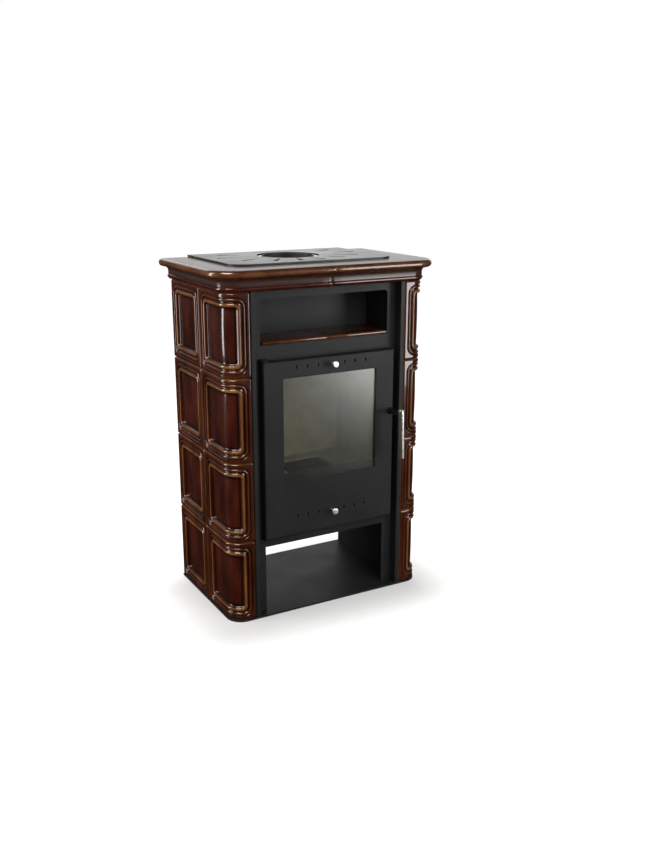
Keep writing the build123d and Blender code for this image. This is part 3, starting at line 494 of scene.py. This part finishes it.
def tileSurface(kind, row, shape, grid, glazing):
    # Depth is a function of the run along the outer face and the height, and the plan bends that run
    low = shape["rows"][row] + (shape["gap"] if row else 0)
    height = shape["rows"][row + 1] - shape["gap"] - low
    width = tileWidth(kind, shape)
    z, u = np.meshgrid(tileStops(height, grid), tileStops(width, grid), indexing="ij")
    insets = {part: edgeDistance(u, z, width, height, shape[part]["bend"])
              for part in ("band", "outerBead", "innerBead", "panel")}
    insets["edge"] = edgeDistance(u, z, width, height)
    depth = tileDepth(u, z, width, height, insets, shape)
    thin = tileThinness(insets, glazing).ravel()
    faces, rim = tileFaces(*u.shape)
    u, z, edgeDepth = roundCorners(u, z, width, height, shape["edgeRadius"])
    depth = (depth + edgeDepth).ravel()
    uAll = np.concatenate([u.ravel(), u.ravel()[rim]])
    zAll = np.concatenate([z.ravel(), z.ravel()[rim]])
    depthAll = np.concatenate([depth, np.full(len(rim), shape["thickness"])])
    x, y = (sidePlan if kind == "side" else cornerPlan)(uAll, depthAll, shape)
    thinAll = np.concatenate([thin, np.full(len(rim), glazing["back"])])
    return np.stack([x, y, low + zAll], -1) * mm, faces, thinAll


for kind in ("side", "corner"):
    for row in range(len(tileShape["rows"]) - 1):
        vertices, faces, thin = tileSurface(kind, row, tileShape, tileGrid, tileGlazing)
        makeBothSides(f"{kind.capitalize()}Tile{row + 1}", f"{kind}_tile_{row + 1}", vertices, faces,
                      tileShape["crease"], {"thinGlaze": thin})
print("tiles made")


def loft(loops):
    # Rings of points along a path, joined into a closed surface with a flat cap at each end
    count, points = loops.shape[:2]
    faces = gridFaces(count, points, closeColumns=True)
    faces += [list(range(points))[::-1], list(range((count - 1) * points, count * points))]
    return loops.reshape(-1, 3), faces


def arc(circle):
    # Points on a circle between two angles in degrees
    angles = np.radians(np.linspace(*circle["angles"], circle["steps"] + 1))
    return circle["middle"] + circle["radius"] * np.stack([np.cos(angles), np.sin(angles)], -1)


def endInsets(radius, steps=5):
    # Distances from an end, and how far the section is drawn in there, so that the end is rounded
    angles = np.linspace(0, np.pi / 2, steps + 1)
    return radius * (1 - np.cos(angles)), radius * (1 - np.sin(angles))


def drawIn(profile, amounts):
    # A closed anticlockwise profile, once for each amount, moved inwards by it along the mean normal of the
    # two sides that meet at each point
    normals = []
    for side in (profile - np.roll(profile, 1, 0), np.roll(profile, -1, 0) - profile):
        length = np.maximum(np.linalg.norm(side, axis=1, keepdims=True), 1e-9)
        normals.append(np.stack([side[:, 1], -side[:, 0]], -1) / length)
    mean = normals[0] + normals[1]
    mean /= np.maximum(np.linalg.norm(mean, axis=1, keepdims=True), 1e-9)
    return profile - amounts[:, None, None] * mean


# Cornice: a moulding that steps out from the tiles, on a slab whose inner edge is hidden by the cover
# plate. The lip, cove and nose are arcs in distance out from the tiles' faces and height, in millimetres
corniceShape = {
    "halfWidth": 304.5, "front": -186.0, "rear": 195.0, "turn": 45.0, "seam": 0.5, "top": 957.0,
    "foot": 900.5, "root": -25.0, "footEnd": 1.0, "coveFoot": (3.5, 914.5), "slabFoot": 936.0,
    "lip": {"middle": (0.7, 908.5), "radius": 5.5, "angles": (-62, 62), "steps": 10},
    "cove": {"middle": (17.5, 922.0), "radius": 14.0, "angles": (180, 90), "steps": 12},
    "nose": {"middle": (19.2, 946.5), "radius": 10.5, "angles": (-90, 90), "steps": 20},
    "innerX": 224.5, "innerY": -98.0, "innerTurn": 20.0, "endRadius": 2.0, "endRun": 8.0,
    "straightSteps": 11, "blendSteps": 4, "turnSteps": 20, "crease": 35,
}

# The glaze is thin along the nose and at the halves' ends, and dull and greyed in the cove and on the top,
# the grey in the cove being a painted reflection. Nose and cove hold the height, width and power of a hump,
# and slabThin is for the part under the cover plate
corniceGlazing = {"nose": (947, 9, 4), "noseThin": 0.42, "noseFrom": 12, "cove": (923, 9, 4), "coveDullAndReflectionGrey": 0.8,
                  "coveTo": 18, "topDull": 0.75, "topDepth": 0.3, "endThin": 0.5, "slabThin": 0.2}


def corniceProfile(shape):
    # Anticlockwise from the foot of the root: lip, cove, nose and top
    return np.concatenate([
        [[shape["root"], shape["foot"]], [shape["footEnd"], shape["foot"]]],
        arc(shape["lip"]), [shape["coveFoot"]], arc(shape["cove"]), arc(shape["nose"]),
        [[shape["root"], shape["top"]]],
    ])


def bentPath(middle, radius, sideStops, angles, frontStops):
    # Points forward along the left side, round a quarter circle and along the front, with outward ways
    turns = np.concatenate([np.zeros(len(sideStops)), angles, np.full(len(frontStops), np.pi / 2)])
    outward = -np.stack([np.cos(turns), np.sin(turns)], -1)
    x = np.concatenate([np.full(len(sideStops) + len(angles), middle[0]), frontStops])
    y = np.concatenate([sideStops, np.full(len(angles) + len(frontStops), middle[1])])
    return np.stack([x, y], -1) + radius * outward, outward


def corniceHalf(shape, glazing):
    # The profile is carried along the outer path, and its root widens to the slab's inner path. Both paths
    # have as many stations, and the profile is drawn in at both ends
    profile = corniceProfile(shape)
    along, drawn = endInsets(shape["endRadius"])
    corner = (shape["turn"] - shape["halfWidth"], shape["turn"] + shape["front"])
    fold = (shape["innerTurn"] - shape["innerX"], shape["innerTurn"] + shape["innerY"])
    straight, blend = shape["straightSteps"] + 1, shape["blendSteps"] + 1
    rearEnd, seamEnd = shape["rear"] - shape["endRun"], -shape["endRun"] - shape["seam"]
    sideStops = np.concatenate([shape["rear"] - along, np.linspace(rearEnd, fold[1], straight)])
    frontStops = np.concatenate([np.linspace(fold[0], seamEnd, straight)[1:], -shape["seam"] - along[::-1]])
    before = np.linspace(fold[1], corner[1], blend)[1:]
    around = np.linspace(0, np.pi / 2, shape["turnSteps"] + 1)[1:]
    after = np.linspace(corner[0], fold[0], blend)[1:]
    outer, outward = bentPath(corner, shape["turn"], np.concatenate([sideStops, before]), around,
                              np.concatenate([after, frontStops]))
    bent = len(before) + len(around) + len(after)
    foldAngles = np.linspace(0, np.pi / 2, bent + 1)[1:]
    inner = bentPath(fold, shape["innerTurn"], sideStops, foldAngles, frontStops)[0]
    amounts = np.zeros(len(outer))
    amounts[:len(drawn)], amounts[-len(drawn):] = drawn, drawn[::-1]
    outlines = drawIn(profile, amounts)
    plan = outer[:, None] + outward[:, None] * outlines[..., :1]
    ring = np.concatenate([plan, outlines[..., 1:]], -1)
    inside = np.stack([np.column_stack([inner, shape["top"] - amounts]),
                       np.column_stack([inner, shape["slabFoot"] + amounts]),
                       np.column_stack([outer + outward * shape["root"], shape["slabFoot"] + amounts])], 1)
    loops = np.concatenate([ring, inside], 1) * mm
    out, z = profile.T
    noseThin = glazing["noseThin"] * hump(z, *glazing["nose"]) * (out > glazing["noseFrom"])
    thin = noseThin + glazing["endThin"] * (amounts > 0)[:, None]
    thin = np.concatenate([thin, np.full((len(amounts), 3), glazing["slabThin"])], 1)
    # in the cove the glaze is made dull and greyed, the grey being a painted reflection
    hollow = glazing["coveDullAndReflectionGrey"] * hump(z, *glazing["cove"]) * (out < glazing["coveTo"])
    hollow += glazing["topDull"] * (z > shape["top"] - glazing["topDepth"])
    dullAndReflectionGrey = np.tile([*hollow, glazing["topDull"], 0, 0], len(amounts))
    return loops, {"thinGlaze": thin.ravel(), "dullGlazeAndReflectionGrey": dullAndReflectionGrey}


cornice, corniceGlaze = corniceHalf(corniceShape, corniceGlazing)
vertices, faces = loft(cornice)
makeBothSides("CorniceMoulding", "cornice", vertices, [face[::-1] for face in faces], corniceShape["crease"],
              corniceGlaze)
print("cornice made")

# Shelf tiles in the niche: a slab with a bullnose front and softened edges, in millimetres
shelfShape = {"outer": 189.5, "seam": 0.5, "front": -163.0, "back": -39.0, "foot": 755.5, "thickness": 11.0,
              "edge": 1.5, "endRadius": 1.5, "crease": 35}
# The glaze is thin along the nose, in a hump with its inset and width, and at the ends
shelfGlazing = {"nose": (1.5, 2.5), "noseThin": 0.35, "endThin": 0.4}


def shelfTile(shape, glazing):
    # Outline in depth and height, carried sideways and drawn in at both ends
    half, edge = shape["thickness"] / 2, shape["edge"]
    middle = shape["foot"] + half
    rear = {"radius": edge, "steps": 4}
    outline = np.concatenate([
        arc({**rear, "middle": (shape["back"] - edge, middle - half + edge), "angles": (270, 360)}),
        arc({**rear, "middle": (shape["back"] - edge, middle + half - edge), "angles": (0, 90)}),
        arc({"middle": (shape["front"] + half, middle), "radius": half, "angles": (90, 270), "steps": 16}),
    ])
    along, drawn = endInsets(shape["endRadius"])
    stops = np.concatenate([-shape["outer"] + along, [-shape["outer"] / 2], -shape["seam"] - along[::-1]])
    amounts = np.concatenate([drawn, [0], drawn[::-1]])
    sideways = np.broadcast_to(stops[:, None, None], (len(stops), len(outline), 1))
    loops = np.concatenate([sideways, drawIn(outline, amounts)], -1) * mm
    noseThin = glazing["noseThin"] * hump(outline[:, 0] - shape["front"], *glazing["nose"])
    thin = noseThin + glazing["endThin"] * (amounts > 0)[:, None]
    return loops, {"thinGlaze": thin.ravel()}


shelf, shelfGlaze = shelfTile(shelfShape, shelfGlazing)
vertices, faces = loft(shelf)
makeBothSides("ShelfTile", "shelf_tile", vertices, faces, shelfShape["crease"], shelfGlaze)
print("shelf tiles made")


def turning(stations, origin, direction, across, up, steps=48):
    # An outline of radius and distance, revolved about an axis: rings of points from its first end to its
    # last. Each station has its own rounding, a parabola between points that far from the corner
    corners = np.array([station[:2] for station in stations], float)
    outline = [corners[0]]
    t = np.linspace(0, 1, 7)[:, None]
    for last, corner, following, station in zip(corners, corners[1:], corners[2:], stations[1:]):
        start, end = (corner + (other - corner) / np.linalg.norm(other - corner) * station[2]
                      for other in (last, following))
        curve = (1 - t) ** 2 * start + 2 * t * (1 - t) * corner + t ** 2 * end
        outline.extend(curve if station[2] else [corner])
    outline = np.array([*outline, corners[-1]])
    angles = np.linspace(0, 2 * np.pi, steps, endpoint=False)
    ring = np.cos(angles)[:, None] * across + np.sin(angles)[:, None] * up
    return (origin + outline[:, 1, None, None] * direction + outline[:, 0, None, None] * ring) * mm


# Handle, in millimetres: a leaning round bar with bevelled ends. Its turned stem keeps the CAD shape
handleShape = {"place": (190.0, -245.0, 541.0), "radius": 8.5, "above": 15.0, "below": 125.0, "lean": 1.5,
               "bevel": 1.2, "faceRounding": 0.4, "sideRounding": 0.5, "pole": 0.02, "crease": 40}


def handleBar(shape):
    lean = np.radians(shape["lean"])
    direction = np.array([-np.sin(lean), 0, np.cos(lean)])
    across = np.array([np.cos(lean), 0, np.sin(lean)])
    radius, bevel, above, below = shape["radius"], shape["bevel"], shape["above"], -shape["below"]
    onFace, onSide = shape["faceRounding"], shape["sideRounding"]
    stations = [(shape["pole"], below, 0), (radius - bevel, below, onFace), (radius, below + bevel, onSide),
                (radius, above - bevel, onSide), (radius - bevel, above, onFace), (shape["pole"], above, 0)]
    return turning(stations, shape["place"], direction, across, np.array([0, 1, 0]))


vertices, faces = loft(handleBar(handleShape))
makeObject("handleBar", vertices, faces, "handle", "stainless", "handle_bar", handleShape["crease"])

# Air slide knobs: a polished disc on a thin stem. Stations are radius, distance to the front and rounding
knobShape = {"x": 2.0, "upper": 696.0, "lower": 280.0, "crease": 40,
             "stations": [(0.02, 182.6, 0), (3.0, 182.6, 0), (3.0, 203.6, 0.4), (9.0, 204.0, 0.5),
                          (9.5, 205.0, 0.4), (9.5, 208.6, 1.6), (7.6, 210.5, 1.6), (0.02, 210.5, 0)]}
towardsFront, rightwards, upwards = np.array([[0, -1, 0], [1, 0, 0], [0, 0, 1]])
for level in ("upper", "lower"):
    middle = (knobShape["x"], 0, knobShape[level])
    vertices, faces = loft(turning(knobShape["stations"], middle, towardsFront, rightwards, upwards))
    makeObject(f"{level}AirKnob", vertices, faces, f"{level}_slide", "knob_metal", f"{level}_air_knob",
               knobShape["crease"])
print("handle and knobs made")

# Every node that keeps its CAD shape gets its finish
nodeFinish = {
    "black_paint": ["base_plate", "left_side_wall", "right_side_wall", "front_plate", "left_front_channel",
                    "right_front_channel", "niche_liner", "hinge_brackets", "door_panel"],
    "cover_paint": ["cover_plate"],
    "sheet_steel": ["tile_rails", "rear_panel", "compartment_ceiling", "ash_pan", "slide_guides",
                    "glass_clips", "upper_air_slide", "lower_air_slide", "door_inner_frame"],
    "raw_steel": ["flue_collar", "firebox_shell", "latch_catch", "latch_tongue"],
    "firebrick": ["left_firebrick", "right_firebrick", "back_firebrick", "side_hearth_stones",
                  "rear_hearth_stone", "baffle"],
    "cast_iron": ["grate", "log_guard"],
    "fire_glass": ["door_glass"],
    "glass_fibre": ["door_gasket", "glass_tape"],
    "bronze": ["hinge_bushes"],
    "screw_steel": ["rear_panel_screws"],
    "black_metal": ["handle_stem"],
}
for slot, names in nodeFinish.items():
    for name in names:
        nodes[name].data.materials.clear()
        nodes[name].data.materials.append(materials[slot])
print("finishes given")

# White paper floor and a studio. Camera, mirror and glass see white surroundings, and the floor keeps its
# shadow. A dark cloth that only reflections see lies round the stove, as glazed ware is photographed.
# Lengths in metres
stageSetup = {
    "floor": "#bcbbb8", "floorSize": 24.0, "glow": (0.36, 0.85),
    "shadowMiddle": (-0.03, -0.06, 0.0), "shadowHalf": (0.27, 0.14, 1.0), "shadowSpan": (0.0, 0.24),
    "cloth": 0.012, "clothSize": 22.0, "clothHeight": 0.003,
    "ambient": 0.35, "room": (0.05, 1.0), "view": (0.49, 0.87, 0.0), "viewEdge": (0.75, 0.92),
}


def whiteTo(tree):
    # One for camera, glossy and transmission rays, nought for the others
    path = tree.nodes.new("ShaderNodeLightPath")
    first = addNode(tree, "ShaderNodeMath", {"operation": "MAXIMUM"},
                    {0: path.outputs["Is Camera Ray"], 1: path.outputs["Is Transmission Ray"]})
    return path, addNode(tree, "ShaderNodeMath", {"operation": "MAXIMUM"},
                         {0: first.outputs[0], 1: path.outputs["Is Glossy Ray"]})


def stageCard(name, size, height, material):
    half = size / 2
    mesh = bpy.data.meshes.new(name)
    corners = [(-half, -half, height), (half, -half, height), (half, half, height), (-half, half, height)]
    mesh.from_pydata(corners, [], [(0, 1, 2, 3)])
    mesh.materials.append(material)
    card = addObject(name, mesh)
    return card


def makeFloor(setup):
    # The floor's glow is weakest at the stove's footprint and grows with distance from it: a painted shadow
    # round the stove's foot, on top of the real one. That distance is the length of max(|place - middle| -
    # half, 0)
    material, tree, output, place = newMaterial("white paper floor")
    shade = addNode(tree, "ShaderNodeBsdfDiffuse", {"Color": colour(setup["floor"])})
    seen = whiteTo(tree)[1]
    offset = addNode(tree, "ShaderNodeVectorMath", {"operation": "SUBTRACT", 1: setup["shadowMiddle"]},
                     {0: place})
    folded = addNode(tree, "ShaderNodeVectorMath", {"operation": "ABSOLUTE"}, {0: offset.outputs[0]})
    beyond = addNode(tree, "ShaderNodeVectorMath", {"operation": "SUBTRACT", 1: setup["shadowHalf"]},
                     {0: folded.outputs[0]})
    outside = addNode(tree, "ShaderNodeVectorMath", {"operation": "MAXIMUM", 1: (0, 0, 0)},
                      {0: beyond.outputs[0]})
    away = addNode(tree, "ShaderNodeVectorMath", {"operation": "LENGTH"}, {0: outside.outputs[0]})
    span = dict(zip(rangeEnds, setup["shadowSpan"] + setup["glow"]))
    glowing = addNode(tree, "ShaderNodeMapRange", {"interpolation_type": "SMOOTHSTEP", **span},
                      {"Value": away.outputs["Value"]})
    strength = addNode(tree, "ShaderNodeMath", {"operation": "MULTIPLY"},
                       {0: glowing.outputs["Result"], 1: seen.outputs[0]})
    glow = addNode(tree, "ShaderNodeEmission", {"Color": white}, {"Strength": strength.outputs[0]})
    both = addNode(tree, "ShaderNodeAddShader", {}, {0: shade.outputs[0], 1: glow.outputs[0]})
    tree.links.new(both.outputs[0], output.inputs["Surface"])
    stageCard("floor", setup["floorSize"], 0, material)


def makeCloth(setup):
    material, tree, output, place = newMaterial("dark cloth")
    shade = addNode(tree, "ShaderNodeEmission", {"Color": white, "Strength": setup["cloth"]})
    tree.links.new(shade.outputs[0], output.inputs["Surface"])
    cloth = stageCard("darkCloth", setup["clothSize"], setup["clothHeight"], material)
    cloth.visible_camera = cloth.visible_diffuse = cloth.visible_transmission = cloth.visible_shadow = False


def makeWorld(setup):
    world = bpy.data.worlds.new("studio")
    bpy.context.scene.world = world
    world.use_nodes = True
    tree = world.node_tree
    tree.nodes.clear()
    output = tree.nodes.new("ShaderNodeOutputWorld")
    path, seen = whiteTo(tree)
    # gloss shows the white background in the way the camera looks, and a dark studio all round otherwise
    way = addNode(tree, "ShaderNodeTexCoord").outputs["Generated"]
    ahead = addNode(tree, "ShaderNodeVectorMath", {"operation": "DOT_PRODUCT", 1: setup["view"]}, {0: way})
    room = addNode(tree, "ShaderNodeMapRange", dict(zip(rangeEnds, setup["viewEdge"] + setup["room"])),
                   {"Value": ahead.outputs["Value"]})
    mirrored = addNode(tree, "ShaderNodeMix", {"data_type": "FLOAT", 2: 1.0},
                       {0: path.outputs["Is Glossy Ray"], 3: room.outputs["Result"]})
    power = addNode(tree, "ShaderNodeMix", {"data_type": "FLOAT", 2: setup["ambient"]},
                    {0: seen.outputs[0], 3: mirrored.outputs[0]})
    shine = addNode(tree, "ShaderNodeBackground", {"Color": white}, {"Strength": power.outputs[0]})
    tree.links.new(shine.outputs[0], output.inputs["Surface"])


makeFloor(stageSetup)
makeCloth(stageSetup)
makeWorld(stageSetup)

# Large soft lamps that light the colours, then the softboxes that show in the gloss. Radiance is in watts
# to a square metre and steradian, places in metres, sizes are width and height
lamps = {
    "frontFill": {"at": (0.2, -3.0, 1.75), "aim": (0.0, 0.0, 0.6), "size": (2.0, 2.0), "radiance": 4.2,
                  "shows": "diffuse"},
    "leftFill": {"at": (-2.9, 0.5, 1.6), "aim": (0.0, 0.0, 0.6), "size": (2.0, 2.0), "radiance": 4.8,
                 "shows": "diffuse"},
    "topFill": {"at": (0.2, 1.6, 3.0), "aim": (0.0, 0.0, 0.6), "size": (2.4, 2.4), "radiance": 1.8,
                "shows": "diffuse"},
    "keySoftbox": {"at": (1.494, -1.926, 0.83), "aim": (0.643, -0.116, 0.83), "size": (0.8, 1.44),
                   "radiance": 12.0, "shows": "gloss"},
    "leftStrip": {"at": (-2.3, 1.0, 1.36), "aim": (-0.3, 0.0, 1.36), "size": (0.7, 2.32), "radiance": 11.0,
                  "shows": "gloss"},
    "highSpot": {"at": (-1.35, -0.9, 2.7), "aim": (-0.2, -0.1, 0.8), "size": (1.3, 1.0), "radiance": 24.0,
                 "shows": "gloss", "tint": "#ffeedd"},
    "backWall": {"at": (0.9, 2.6, 1.9), "aim": (0.2, 0.0, 0.95), "size": (3.6, 1.8), "radiance": 0.9,
                 "shows": "both"},
}
for name, setup in lamps.items():
    data = bpy.data.lights.new(name, "AREA")
    data.shape = "RECTANGLE"
    data.size, data.size_y = setup["size"]
    data.energy = setup["radiance"] * np.pi * data.size * data.size_y
    data.color = colour(setup.get("tint", "#ffffff"))[:3]
    lamp = addObject(name, data)
    aimAt(lamp, setup["at"], setup["aim"])
    lamp.visible_camera = False
    lamp.visible_diffuse = setup["shows"] != "gloss"
    lamp.visible_glossy = setup["shows"] != "diffuse"
print("stage lit")

bpy.context.scene.view_settings.view_transform = "Standard"
bpy.context.view_layer.update()
